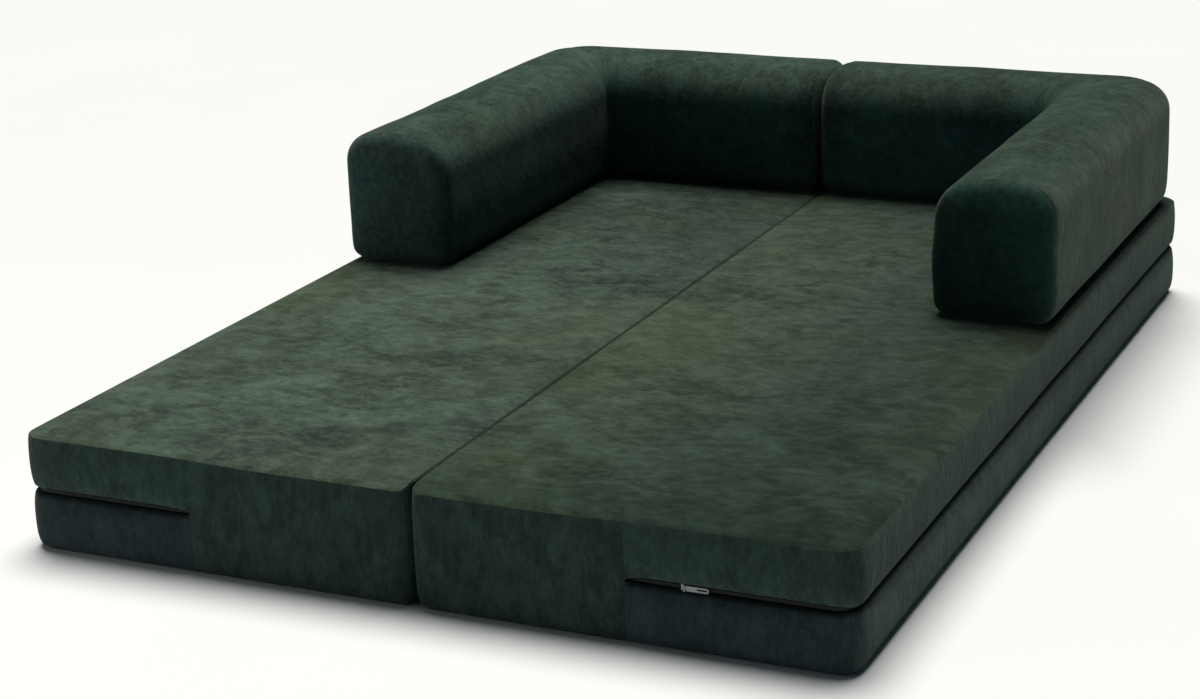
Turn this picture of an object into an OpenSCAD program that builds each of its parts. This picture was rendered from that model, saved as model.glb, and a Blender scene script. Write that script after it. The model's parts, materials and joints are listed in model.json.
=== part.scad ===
// Fold-out floor sofa bed: two mattress halves hinged along a seam, and two loose corner bolsters.
// The origin is on the floor under the middle of the bed: x runs across it, y towards the bolsters, z up.
// Left and right are as seen from the foot. All lengths are in millimetres.

/* [Mattress] */
// Width of one mattress half
half_w = 700; // [560:10:900]
// Length of the bed
bed_l = 2000; // [1700:10:2200]
// Height of the mattress at its crown
mat_h = 200; // [160:5:260]
// Plan radius of the outer corners
corner_r = 40; // [28:1:80]
// Plan radius of the corners beside the fold
fold_corner_r = 18; // [10:1:30]
// Fall of the crowned top down to its edge seam
edge_drop = 10; // [10:1:34]
// Width over which the crowned top falls
crown_w = 190; // [120:5:240]
// Gap from the fold line to the wall of each half
fold_gap = 3.4; // [3:0.1:6]
// How far the long outer side pulls in between its corners
side_draw = 2.5; // [0:0.5:3]
// How far the foot and head ends pull in between their corners
end_draw = 2; // [0:0.5:3]

/* [Mattress cover] */
// Inset of the top edge seam
seam_in = 2.4; // [1:0.1:4]
// Inset of the base seam
base_seam_in = 8; // [4:0.5:9]
// Height of the base seam over the floor
base_rim = 12; // [8:1:20]
// Width of the rounding under the base seam
base_round = 20; // [14:1:30]
// Depth of the zip slot's lips behind the face
lip_in = 10; // [7:0.5:10]
// Depth of the inside of the padded side walls
wall_in = 14; // [13.5:0.5:20]
// Thickness of the quilted top under its crown
quilt_t = 8; // [6:0.5:9]
// Thickness of the base cloth
base_t = 4; // [2:0.5:5]
// Thickness of the wadding over the edge of the foam core
wad_t = 10; // [4:1:16]
// Clearance between a cover and what it holds
soft_gap = 0.3; // [0.2:0.05:0.5]

/* [Mattress zip] */
// Length of the right half's zip along each end, from the outer side
right_zip_run = 350; // [250:5:450]
// Length of the left half's zip along each end, from the outer side
left_zip_run = 315; // [250:5:450]
// Height of the slot between the zip's lips
slot_h = 12; // [11:0.5:16]
// Height of one zip tape
tape_h = 15; // [10:0.5:20]
// Thickness of the zip tape
tape_t = 1; // [0.6:0.1:1.2]
// How far the tapes run on behind the inner band
tape_tuck = 10; // [5:1:20]
// Height of the closed row of teeth
teeth_h = 5.4; // [4:0.1:6]
// Thickness of the row of teeth
teeth_t = 2.6; // [2:0.1:3]
// Distance from the end of the right half's zip to its slider at rest
right_slider_off = 90; // [45:5:130]
// Distance from the end of the left half's zip to its slider at rest
left_slider_off = 135; // [45:5:140]

/* [Slider and pull] */
// Length of the slider's body
slider_l = 12; // [9:0.5:15]
// Width of the slider's body
slider_w = 9.2; // [8.6:0.1:9.6]
// Thickness of the slider's plate
slider_t = 2; // [1.5:0.1:2.4]
// Running clearance round the teeth and the pull's eye
run_gap = 0.3; // [0.2:0.05:0.35]
// Radius of the pin that carries the pull
pin_r = 0.9; // [0.7:0.05:1]
// Radial clearance of the pin in its eye
pin_gap = 0.07; // [0.04:0.01:0.1]
// Outer radius of the pull's eye
eye_r = 1.9; // [1.7:0.1:2]
// Thickness of the slider's ears
ear_t = 1.2; // [1:0.1:1.4]
// Length of the pull beyond its eye
pull_l = 34; // [20:1:45]
// Width of the pull
pull_w = 8; // [6:0.5:9]
// Thickness of the pull
pull_t = 1.4; // [1:0.1:1.6]

/* [Bolsters] */
// Width of a bolster
bol_w = 215; // [180:5:250]
// Height of a bolster without its crown
bol_h = 250; // [200:5:300]
// Length of the arm leg over its outer side
arm_l = 960; // [700:5:1000]
// Radius of the two top edges
top_r = 72; // [60:1:90]
// Radius of the two foot edges
foot_r = 30; // [24:1:40]
// Plan radius of the outer corner
bend_r = 90; // [80:5:160]
// Plan radius of the inner corner
crease_r = 12; // [8:1:20]
// Radius round the end caps
cap_r = 26; // [18:1:28]
// Crown of the top between its edges
top_crown = 4; // [0:0.5:8]
// Swell of the side that faces the seat
seat_swell = 4; // [0:0.5:6]
// How far a leg draws in at its middle
leg_draw = 2; // [0:0.5:3]
// Setback of the bolsters from the mattress's outer faces
setback = 6; // [4:1:15]
// Half the gap between the two bolsters
meet_gap = 2; // [1:0.5:6]
// Thickness of the bolsters' quilted cover
cover_t = 4; // [2:0.5:5]

/* [Bolster zip] */
// Depth of the groove that holds the zip
groove_d = 12; // [11:0.5:14]
// Height of the zip above the bolster's foot
groove_z = 62; // [58:1:80]
// Slant of the groove's lips
groove_slant = 3; // [2:0.5:5]
// Distance from the fold to the near end of the zip
bol_zip_x = 60; // [50:5:70]
// Distance from the bend of the bolster to the far end of the zip
bol_zip_off = 27; // [20:1:60]
// Length over which the groove closes at each end
groove_fade = 8; // [5:1:15]
// Distance from the far end of the zip to the slider at rest
bol_slider_off = 40; // [30:1:60]

/* [Fold seam] */
// Distance from the end of the bed to the end of the corded seam
welt_in = 14; // [8:1:30]

/* [Hidden] */
$fn = 48;

// Colours of the cloth, foam and zip
top_green = [0.17, 0.23, 0.16];
side_green = [0.12, 0.17, 0.14];
lower_green = [0.10, 0.15, 0.14];
bolster_green = [0.13, 0.18, 0.14];
base_grey = [0.12, 0.13, 0.13];
foam_cream = [0.90, 0.87, 0.74];
wadding_white = [0.94, 0.94, 0.92];
zip_black = [0.05, 0.05, 0.06];
slider_grey = [0.30, 0.31, 0.32];

// Smallest radius that a drawn-in corner may shrink to
least_r = 4;
// Steps in a quarter turn of a mattress corner, and of a bolster's top and foot edges
corner_steps = 4;
top_steps = 4;
foot_steps = 3;
core_top_steps = 2;
core_foot_steps = 1;

// Heights of the mattress, and the height of the fold line
rim_z = mat_h - edge_drop;
ceiling_z = mat_h - quilt_t;
core_low = base_rim + soft_gap;
core_high = rim_z - wad_t;
zip_z = mat_h / 2;
fold_z = mat_h + soft_gap;
lip_top_z = zip_z + slot_h / 2;
lip_low_z = zip_z - slot_h / 2;

// Distances from the fold to the ends of the zips, and to their sliders
right_zip_x = half_w - right_zip_run;
left_zip_x = half_w - left_zip_run;
right_slider_x = right_zip_x + right_slider_off;
left_slider_x = left_zip_x + left_slider_off;

// Depths behind the face of the side wall, whose corners are flat between their steps
wall_sag = (corner_r - wall_in) * (1 - cos(45 / corner_steps));
tape_in = wall_in + wall_sag + soft_gap;
core_in = tape_in + tape_t + soft_gap;
teeth_in = tape_in - teeth_t;
// Width over which the top's inside rises from its rim to its ceiling
ceiling_w = 18;

// The top's rings from its edge seam inwards: share of the crown's width, share of the fall,
// and share of the fold gap at the fold, where the two halves are nearly flush
crown_shares = [[0, 1, 1], [0.012, 0.6, 0.9], [0.04, 0.34, 0.65], [0.1, 0.2, 0.35],
    [0.24, 0.12, 0.25], [0.52, 0.05, 0.3], [1, 0, 6]];
// The ring that comes nearest to the fold line, where the corded seam lies between the halves
seam_ring_shares = crown_shares[5];
// The base's rings from its seam inwards: share of the rounding's width, share of the seam's height
base_shares = [[0, 1], [0.35, 0.3], [1, 0]];
// A zip band's rings from its seam to its lip: shares of the seam's inset, of the lip's inset and of the height
bulge_shares = [[1, 0, 0], [0.35, 0, 0.2], [0, 0, 0.45], [0, 0.14, 0.7], [0, 0.45, 0.88], [0, 1, 1]];
// The inner band's rings from the base up: shares of the base seam's inset, of the top's and of the height
plain_shares = [[1, 0, 0], [0.35, 0, 0.13], [0, 0, 0.4], [0, 0, 0.7], [0, 0.35, 0.9], [0, 1, 1]];
// Places of a ring's points along the zip's straight run, the long side, the inner run and the fold
run_shares = [0, 0.35, 0.7];
side_shares = [0.17, 0.33, 0.5, 0.67, 0.83];
inner_run_shares = [0.4, 0.8];
fold_shares = [0.33, 0.67];

function lerp(a, b, t) = a + (b - a) * t;
function bow(t) = 4 * t * (1 - t);
function steps(n) = [for (i = [0:n]) 90 * i / n];
function flipped(list) = [for (i = [len(list) - 1:-1:0]) list[i]];
function pick(list, from, to) = [for (i = [from:to]) list[i % len(list)]];
function centre(row) = [for (k = [0:2]) [for (p = row) p[k]] * [for (p = row) 1] / len(row)];
function joined(rows) = [for (row = rows) each row];

// Two triangles of a quad, seen counter-clockwise from outside
function quad(a, b, c, d) = [[a, b, c], [a, c, d]];
// Triangles of the strip between the row that starts at a and the one that starts at b
function strip(a, b, n, wrap) =
    [for (i = [0:(wrap ? n - 1 : n - 2)]) let (j = (i + 1) % n) each quad(a + i, a + j, b + j, b + i)];
function strips(first, rows, n, wrap) =
    [for (k = [0:rows - 2]) each strip(first + k * n, first + (k + 1) * n, n, wrap)];
// Triangles from a closed row to its centre
function fan(first, n, middle) = [for (i = [0:n - 1]) [first + i, first + (i + 1) % n, middle]];
function turned(faces) = [for (f = faces) flipped(f)];

module mesh(points, faces, turn = false) {
    polyhedron(points, turn ? faces : turned(faces));
}

// A closed tray of cloth: outer and inner rings from its rim to its middle
module dish(outer, inner, turn = false) {
    n = len(outer[0]);
    rows = len(outer);
    in_rows = len(inner);
    first_in = rows * n;
    middle = first_in + in_rows * n;
    points = concat(joined(outer), joined(inner), [centre(outer[rows - 1]), centre(inner[in_rows - 1])]);
    faces = concat(
        strips(0, rows, n, true),
        fan((rows - 1) * n, n, middle),
        turned(strips(first_in, in_rows, n, true)),
        turned(fan(first_in + (in_rows - 1) * n, n, middle + 1)),
        turned(strip(0, first_in, n, true)));
    mesh(points, faces, turn);
}

// A band of cloth that runs part of the way round: outer rings from its lower edge up, and a flat inside
module band(outer, inner_low, inner_high) {
    n = len(inner_low);
    rows = len(outer);
    low = rows * n;
    high = low + n;
    half = floor(rows / 2);
    end = n - 1;
    points = concat(joined(outer), inner_low, inner_high);
    closing = concat(
        [for (k = [0:rows - 2]) [k * n, (k + 1) * n, k < half ? low : high]],
        [[half * n, high, low]]);
    faces = concat(
        strips(0, rows, n, false),
        turned(strip(low, high, n, false)),
        turned(strip(0, low, n, false)),
        strip((rows - 1) * n, high, n, false),
        closing,
        turned([for (f = closing) [for (v = f) v + end]]));
    mesh(points, faces);
}

// A sleeve of cloth open at both ends: outer and inner loops along its length
module sleeve(outer, inner) {
    n = len(outer[0]);
    rows = len(outer);
    in_rows = len(inner);
    first_in = rows * n;
    points = concat(joined(outer), joined(inner));
    faces = concat(
        turned(strips(0, rows, n, true)),
        strips(first_in, in_rows, n, true),
        strip(0, first_in, n, true),
        turned(strip((rows - 1) * n, first_in + (in_rows - 1) * n, n, true)));
    mesh(points, faces);
}

// A solid through loops along its length, closed at both ends
module loft(loops) {
    n = len(loops[0]);
    rows = len(loops);
    middle = rows * n;
    points = concat(joined(loops), [centre(loops[0]), centre(loops[rows - 1])]);
    faces = concat(
        turned(strips(0, rows, n, true)),
        fan(0, n, middle),
        turned(fan((rows - 1) * n, n, middle + 1)));
    mesh(points, faces);
}

// One ring round the right half, counter-clockwise from the foot end of its zip: the zip's run comes
// first, and then the inner band's. drawn is 1 where the sides pull in and 0 where they are straight.
function ring(inset, fold_in, z, zip_x, drawn = 0) =
    let (
        x_out = half_w - inset,
        y_out = bed_l / 2 - inset,
        r = max(corner_r - inset, least_r),
        rf = max(fold_corner_r - fold_in, least_r),
        xa = fold_in + rf,
        xb = x_out - r,
        yb = y_out - r,
        ya = y_out - rf,
        zip_run = [for (t = run_shares) lerp(zip_x, xb, t)],
        inner_run = [for (t = inner_run_shares) lerp(zip_x, xa, t)],
        end_y = function(x) y_out - drawn * end_draw * bow((x - xa) / (xb - xa)),
        flat = concat(
            [for (x = zip_run) [x, -end_y(x)]],
            [for (a = steps(corner_steps)) [xb + r * sin(a), -yb - r * cos(a)]],
            [for (t = side_shares) [x_out - drawn * side_draw * bow(t), lerp(-yb, yb, t)]],
            [for (a = steps(corner_steps)) [xb + r * cos(a), yb + r * sin(a)]],
            [for (x = flipped(zip_run)) [x, end_y(x)]],
            [for (x = inner_run) [x, end_y(x)]],
            [for (a = steps(corner_steps)) [xa - rf * sin(a), ya + rf * cos(a)]],
            [for (t = fold_shares) [fold_in, lerp(ya, -ya, t)]],
            [for (a = steps(corner_steps)) [xa - rf * cos(a), -ya - rf * sin(a)]],
            [for (x = flipped(inner_run)) [x, -end_y(x)]]))
    [for (p = flat) [p[0], p[1], z]];

// Number of the ring's points along the zip, from one of its ends to the other
zip_points = 2 * len(run_shares) + 2 * (corner_steps + 1) + len(side_shares);
function zip_part(row) = pick(row, 0, zip_points - 1);
function inner_part(row) = pick(row, zip_points - 1, len(row));

module top_cover(zip_x) {
    outer = [for (s = crown_shares)
        ring(lerp(seam_in, crown_w, s[0]), fold_gap * s[2], mat_h - edge_drop * s[1], zip_x, 1 - s[0])];
    inner = [
        ring(wall_in, wall_in, rim_z, zip_x),
        ring(wall_in + ceiling_w, wall_in + ceiling_w, ceiling_z, zip_x)];
    color(top_green) dish(outer, inner);
}

module base_cover(zip_x) {
    outer = [for (s = base_shares)
        let (inset = base_seam_in + base_round * s[0])
        ring(inset, fold_gap + inset, base_rim * s[1], zip_x, 1 - s[0])];
    inner = [
        ring(wall_in, wall_in, base_rim, zip_x),
        ring(wall_in + base_round, wall_in + base_round, base_t, zip_x)];
    color(base_grey) dish(outer, inner, turn = true);
}

module inner_band(zip_x) {
    rows = [for (s = plain_shares)
        let (inset = base_seam_in * s[0] + seam_in * s[1], z = lerp(base_rim, rim_z, s[2]))
        inner_part(ring(inset, fold_gap + base_seam_in * s[0], z, zip_x, 1))];
    color(side_green) band(rows,
        inner_part(ring(wall_in, wall_in, base_rim, zip_x)),
        inner_part(ring(wall_in, wall_in, rim_z, zip_x)));
}

module upper_zip_band(zip_x) {
    rows = [for (s = flipped(bulge_shares))
        let (inset = seam_in * s[0] + lip_in * s[1])
        zip_part(ring(inset, fold_gap, lerp(rim_z, lip_top_z, s[2]), zip_x, 1))];
    color(side_green) band(rows,
        zip_part(ring(wall_in, wall_in, lip_top_z, zip_x)),
        zip_part(ring(wall_in, wall_in, rim_z, zip_x)));
}

module lower_zip_band(zip_x) {
    rows = [for (s = bulge_shares)
        let (inset = base_seam_in * s[0] + lip_in * s[1])
        zip_part(ring(inset, fold_gap, lerp(base_rim, lip_low_z, s[2]), zip_x, 1))];
    color(lower_green) band(rows,
        zip_part(ring(wall_in, wall_in, base_rim, zip_x)),
        zip_part(ring(wall_in, wall_in, lip_low_z, zip_x)));
}

// The right half's plan, drawn in by an inset, with straight sides
module plan(inset) {
    r = max(corner_r - inset, least_r);
    rf = max(fold_corner_r - inset, least_r);
    y_out = bed_l / 2 - inset;
    xb = half_w - inset - r;
    xa = inset + rf;
    translate([xa, -y_out]) square([xb - xa, 2 * y_out]);
    translate([inset, rf - y_out]) square([rf, 2 * (y_out - rf)]);
    translate([xb, r - y_out]) square([r, 2 * (y_out - r)]);
    for (s = [-1, 1]) {
        translate([xa, s * (y_out - rf)]) circle(rf);
        translate([xb, s * (y_out - r)]) circle(r);
    }
}

// A strip that follows the zip round the outer side, from one depth to another
module zip_run(near, far, from_x) {
    intersection() {
        difference() {
            plan(near);
            plan(far);
        }
        translate([from_x, -bed_l / 2]) square([half_w, bed_l]);
    }
}

module zip_tapes(zip_x) {
    color(zip_black) for (z = [zip_z + run_gap, zip_z - run_gap - tape_h])
        translate([0, 0, z]) linear_extrude(tape_h) zip_run(tape_in, tape_in + tape_t, zip_x - tape_tuck);
}

module zip_teeth(zip_x) {
    color(zip_black) translate([0, 0, zip_z - teeth_h / 2])
        linear_extrude(teeth_h) zip_run(teeth_in, tape_in, zip_x + soft_gap);
}

module foam_core() {
    color(foam_cream) translate([0, 0, core_low])
        linear_extrude(core_high - core_low) plan(core_in);
}

module wadding() {
    low = base_t + soft_gap;
    color(wadding_white) {
        translate([0, 0, low]) linear_extrude(core_low - low) plan(wall_in + base_round + soft_gap);
        translate([0, 0, core_high]) {
            linear_extrude(rim_z - soft_gap - core_high) plan(core_in);
            linear_extrude(ceiling_z - soft_gap - core_high) plan(wall_in + ceiling_w + soft_gap);
        }
    }
}

// Slider and pull in their own frame: the tape's face is y = 0, outside is -y, and the zip runs along x
plate_y = -teeth_t - run_gap - slider_t;
pin_y = plate_y - run_gap - eye_r - pin_gap;
ear_y = pin_y - eye_r;
ear_z = slider_w / 2 - ear_t;

module slider() {
    flange_h = slider_w / 2 - teeth_h / 2 - run_gap;
    color(slider_grey) difference() {
        union() {
            translate([-slider_l / 2, plate_y, -slider_w / 2]) cube([slider_l, slider_t, slider_w]);
            for (z = [-slider_w / 2, slider_w / 2 - flange_h])
                translate([-slider_l / 2, plate_y, z]) cube([slider_l, -plate_y - run_gap, flange_h]);
            for (z = [-slider_w / 2, ear_z])
                translate([-eye_r, ear_y, z]) cube([2 * eye_r, plate_y - ear_y + slider_t / 2, ear_t]);
            translate([0, pin_y, -slider_w / 2 + ear_t / 2]) cylinder(r = pin_r, h = slider_w - ear_t);
        }
        // A funnel at the mouth, where the two rows of teeth part
        translate([slider_l / 2, plate_y - run_gap, 0]) rotate([-90, 0, 0])
            cylinder(r = slider_w / 6, h = slider_t + 2 * run_gap);
    }
}

module pull() {
    eye_h = 2 * (ear_z - run_gap);
    neck_x = eye_r + run_gap + pull_t;
    hole_w = pull_w / 3;
    color(slider_grey) difference() {
        union() {
            translate([0, pin_y, -eye_h / 2]) cylinder(r = eye_r, h = eye_h);
            translate([pin_r, pin_y - pull_t / 2, -eye_h / 2]) cube([neck_x, pull_t, eye_h]);
            translate([neck_x, pin_y + pull_t / 2, 0]) rotate([90, 0, 0]) linear_extrude(pull_t) difference() {
                union() {
                    translate([0, -pull_w / 2]) square([pull_l - pull_w / 2, pull_w]);
                    translate([pull_l - pull_w / 2, 0]) circle(pull_w / 2);
                }
                translate([pull_l / 2, 0]) circle(hole_w / 2);
                translate([pull_l / 2, -hole_w / 2]) square([pull_l / 2 - pull_w / 2, hole_w]);
                translate([pull_l - pull_w / 2, 0]) circle(hole_w / 2);
            }
        }
        translate([0, pin_y, -eye_h / 2 - run_gap]) cylinder(r = pin_r + pin_gap, h = eye_h + 2 * run_gap);
    }
}

// The right half's slider sits in its foot end, the left half's in its head end
module in_foot_end(x) {
    translate([x, tape_in - bed_l / 2, zip_z]) children();
}

module in_head_end(x) {
    translate([x, bed_l / 2 - tape_in, zip_z]) mirror([0, 1, 0]) children();
}

module left_side() {
    mirror([1, 0, 0]) children();
}

// The corded seam fills the notch between the two top covers
welt_r = norm([fold_gap * seam_ring_shares[2], edge_drop * seam_ring_shares[1] + soft_gap]) - soft_gap;

module fold_welt() {
    color(side_green) translate([0, welt_in - bed_l / 2, fold_z]) rotate([-90, 0, 0])
        cylinder(r = welt_r, h = bed_l - 2 * welt_in);
}

// The right bolster: outer and inner faces, its ends, and the seams of its end caps
out_x = half_w - setback;
out_y = bed_l / 2 - setback;
in_x = out_x - bol_w;
in_y = out_y - bol_w;
arm_end = out_y - arm_l;
arm_seam = arm_end + cap_r;
back_seam = meet_gap + cap_r;
pivot_x = in_x - crease_r;
pivot_y = in_y - crease_r;
foot_z = mat_h + soft_gap;

// A loop round a bolster: distance from its seat side, and height over its foot. It is drawn in by an
// inset, and groove is the share of the zip groove's depth in its outer side.
function section(inset, groove = 0, tops = top_steps, feet = foot_steps) =
    let (
        rt = max(top_r - inset, least_r),
        rf = max(foot_r - inset, least_r),
        low = inset,
        high = bol_h - inset,
        near = inset,
        far = bol_w - inset,
        reach = slot_h / 2 + groove * inset,
        floor_x = far - groove * groove_d)
    concat(
        [for (a = steps(feet)) [far - rf + rf * sin(a), low + rf - rf * cos(a)]],
        [[far, groove_z - reach - groove_slant], [floor_x, groove_z - reach],
            [floor_x, groove_z + reach], [far, groove_z + reach + groove_slant]],
        [for (a = steps(tops)) [far - rt + rt * cos(a), high - rt + rt * sin(a)]],
        [[bol_w / 2, high + top_crown]],
        [for (a = steps(tops)) [near + rt - rt * sin(a), high - rt + rt * cos(a)]],
        [[near - seat_swell, bol_h / 2]],
        [for (a = steps(feet)) [near + rf - rf * cos(a), low + rf - rf * sin(a)]]);

// The section placed across the arm at a y, and across the back at an x
function arm_loop(y, loop) = [for (p = loop) [in_x + p[0], y, foot_z + p[1]]];
function back_loop(x, loop) = [for (p = loop) [x, in_y + p[0], foot_z + p[1]]];

// The section placed across the corner, through the point of the outer bend at a turn from 0 to 90
bend_c = bol_w + crease_r - bend_r;
function bend_loop(turn, loop) =
    let (
        bx = bend_c + bend_r * cos(turn),
        by = bend_c + bend_r * sin(turn),
        reach = norm([bx, by]),
        stretch = (reach - crease_r) / bol_w)
    [for (p = loop)
        let (r = (crease_r + p[0] * stretch) / reach)
        [pivot_x + r * bx, pivot_y + r * by, foot_z + p[1]]];

// Turns of the loops on the arm's and the back's half of the corner, which meet in a mitre
mitre = 45;
arm_turns = [0, mitre / 3, 2 * mitre / 3, mitre];
back_turns = [for (t = flipped(arm_turns)) 90 - t];
inner_arm_turns = [mitre / 3, mitre];
inner_back_turns = [for (t = flipped(inner_arm_turns)) 90 - t];

// The zip's groove in the back leg: where it closes and opens, from the corner to the fold
groove_far = pivot_x - bol_zip_off;
groove_stations = [[groove_far + groove_fade, 0], [groove_far, 1], [bol_zip_x, 1], [bol_zip_x - groove_fade, 0]];

function arm_loops(inset, turns, tops = top_steps, feet = foot_steps) =
    let (loop = section(inset, 0, tops, feet))
    concat([arm_loop(arm_seam, loop), arm_loop(pivot_y, loop)], [for (t = turns) bend_loop(t, loop)]);

function back_loops(inset, turns, tops = top_steps, feet = foot_steps) =
    let (loop = section(inset, 0, tops, feet))
    concat(
        [for (t = turns) bend_loop(t, loop)],
        [back_loop(pivot_x, loop)],
        [for (s = groove_stations) back_loop(s[0], section(inset, s[1], tops, feet))],
        [back_loop(back_seam, loop)]);

module arm_cover() {
    straight = arm_loops(0, arm_turns);
    // The leg draws in a little at its middle
    waist = arm_loop((arm_seam + pivot_y) / 2, section(leg_draw));
    outer = concat([straight[0], waist], [for (i = [1:len(straight) - 1]) straight[i]]);
    color(bolster_green) sleeve(outer, arm_loops(cover_t, inner_arm_turns));
}

module back_cover() {
    color(bolster_green) sleeve(back_loops(0, back_turns), back_loops(cover_t, inner_back_turns));
}

// Steps round the edge of an end cap
cap_turns = [0, 30, 60, 90];

module arm_end_cap() {
    outer = [for (a = cap_turns) arm_loop(arm_seam - cap_r * sin(a), section(cap_r * (1 - cos(a))))];
    inner = [arm_loop(arm_seam, section(cover_t)), arm_loop(arm_end + cover_t, section(cap_r))];
    color(bolster_green) dish(outer, inner);
}

module back_end_cap() {
    outer = [for (a = cap_turns) back_loop(back_seam - cap_r * sin(a), section(cap_r * (1 - cos(a))))];
    inner = [back_loop(back_seam, section(cover_t)), back_loop(meet_gap + cover_t, section(cap_r))];
    color(bolster_green) dish(outer, inner, turn = true);
}

core_skin = cover_t + soft_gap;

module arm_core() {
    nose = arm_loop(arm_end + core_skin, section(cap_r + soft_gap, 0, core_top_steps, core_foot_steps));
    loops = arm_loops(core_skin, inner_arm_turns, core_top_steps, core_foot_steps);
    color(foam_cream) loft(concat([nose], loops));
}

module back_core() {
    nose = back_loop(meet_gap + core_skin, section(cap_r + soft_gap, 0, core_top_steps, core_foot_steps));
    loops = back_loops(core_skin, inner_back_turns, core_top_steps, core_foot_steps);
    color(foam_cream) loft(concat(loops, [nose]));
}

// The bolster's zip, on the floor of its groove
groove_floor = out_y - groove_d;
bol_tape_h = slot_h / 2 - run_gap;
bol_zip_l = groove_far - bol_zip_x;
bol_zip_z = foot_z + groove_z;

module bolster_zip() {
    y = groove_floor + tape_t;
    color(zip_black) translate([bol_zip_x, 0, bol_zip_z]) {
        for (z = [run_gap / 2, -bol_tape_h - run_gap / 2])
            translate([0, groove_floor, z]) cube([bol_zip_l, tape_t, bol_tape_h]);
        translate([0, y, -teeth_h / 2]) cube([bol_zip_l, teeth_t, teeth_h]);
    }
}

module on_bolster_back() {
    translate([groove_far - bol_slider_off, groove_floor + tape_t, bol_zip_z])
        mirror([0, 1, 0]) mirror([1, 0, 0]) children();
}

top_cover(right_zip_x);  // right_top_cover
base_cover(right_zip_x);  // right_base_cover
inner_band(right_zip_x);  // right_inner_band
upper_zip_band(right_zip_x);  // right_upper_zip_band
lower_zip_band(right_zip_x);  // right_lower_zip_band
zip_tapes(right_zip_x);  // right_zip_tapes
zip_teeth(right_zip_x);  // right_zip_teeth
foam_core();  // right_foam_core
wadding();  // right_wadding
in_foot_end(right_slider_x) slider();  // right_zip_slider
in_foot_end(right_slider_x) pull();  // right_zip_pull
left_side() top_cover(left_zip_x);  // left_top_cover
left_side() base_cover(left_zip_x);  // left_base_cover
left_side() inner_band(left_zip_x);  // left_inner_band
left_side() upper_zip_band(left_zip_x);  // left_upper_zip_band
left_side() lower_zip_band(left_zip_x);  // left_lower_zip_band
left_side() zip_tapes(left_zip_x);  // left_zip_tapes
left_side() zip_teeth(left_zip_x);  // left_zip_teeth
left_side() foam_core();  // left_foam_core
left_side() wadding();  // left_wadding
left_side() in_head_end(left_slider_x) slider();  // left_zip_slider
left_side() in_head_end(left_slider_x) pull();  // left_zip_pull
fold_welt();
arm_cover();  // right_arm_cover
back_cover();  // right_back_cover
arm_end_cap();  // right_arm_end_cap
back_end_cap();  // right_back_end_cap
arm_core();  // right_arm_core
back_core();  // right_back_core
bolster_zip();  // right_bolster_zip
on_bolster_back() slider();  // right_bolster_slider
on_bolster_back() pull();  // right_bolster_pull
left_side() arm_cover();  // left_arm_cover
left_side() back_cover();  // left_back_cover
left_side() arm_end_cap();  // left_arm_end_cap
left_side() back_end_cap();  // left_back_end_cap
left_side() arm_core();  // left_arm_core
left_side() back_core();  // left_back_core
left_side() bolster_zip();  // left_bolster_zip
left_side() on_bolster_back() slider();  // left_bolster_slider
left_side() on_bolster_back() pull();  // left_bolster_pull
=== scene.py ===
"""A fold-out floor sofa bed: zipped mattress halves with quilted covers, and two padded corner bolsters."""
import json
from math import cos, exp, hypot, pi, radians, sin

import bmesh
import bpy
from bpy.props import FloatProperty, FloatVectorProperty, IntProperty, PointerProperty
from mathutils import Matrix, Vector, noise


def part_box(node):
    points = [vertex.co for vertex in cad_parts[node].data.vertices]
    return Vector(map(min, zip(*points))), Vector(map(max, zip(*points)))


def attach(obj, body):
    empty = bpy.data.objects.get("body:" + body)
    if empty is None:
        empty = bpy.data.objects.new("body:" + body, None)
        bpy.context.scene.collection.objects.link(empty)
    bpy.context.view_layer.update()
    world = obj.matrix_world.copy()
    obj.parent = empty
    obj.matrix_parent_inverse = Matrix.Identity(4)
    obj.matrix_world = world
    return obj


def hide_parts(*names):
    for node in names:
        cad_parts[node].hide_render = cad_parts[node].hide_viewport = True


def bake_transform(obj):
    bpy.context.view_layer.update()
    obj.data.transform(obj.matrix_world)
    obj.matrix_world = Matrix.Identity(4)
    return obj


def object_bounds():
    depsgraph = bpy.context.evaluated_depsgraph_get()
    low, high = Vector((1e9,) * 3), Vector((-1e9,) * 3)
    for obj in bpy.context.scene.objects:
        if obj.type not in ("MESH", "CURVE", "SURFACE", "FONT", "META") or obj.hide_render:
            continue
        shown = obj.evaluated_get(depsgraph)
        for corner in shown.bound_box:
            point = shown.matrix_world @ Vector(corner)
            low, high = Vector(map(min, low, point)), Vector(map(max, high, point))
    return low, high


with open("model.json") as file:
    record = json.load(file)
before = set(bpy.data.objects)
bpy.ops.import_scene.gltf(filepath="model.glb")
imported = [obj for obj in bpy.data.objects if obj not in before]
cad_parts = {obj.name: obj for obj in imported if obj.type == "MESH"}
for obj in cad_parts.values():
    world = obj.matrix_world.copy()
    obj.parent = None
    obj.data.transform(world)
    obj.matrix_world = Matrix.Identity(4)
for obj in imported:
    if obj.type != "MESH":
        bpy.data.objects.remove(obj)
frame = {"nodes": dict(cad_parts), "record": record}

bl_info = {
    "name": "Sofa bed dressing",
    "version": (1, 0, 0),
    "blender": (4, 5, 0),
    "location": "View3D > Sidebar > Sofa Bed",
    "description": "Makes the covers, seams, cloth and studio for the fold-out sofa bed",
    "category": "Object",
}

MM = 0.001
SIDES = ("right", "left")
CAD_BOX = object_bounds()
HALF_W = CAD_BOX[1].x
HALF_L = CAD_BOX[1].y
# How far simulated cloth may sink, and two lengths that count as none
SINK, EDGE, TINY = 0.6 * MM, 1e-6, 1e-9

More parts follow.
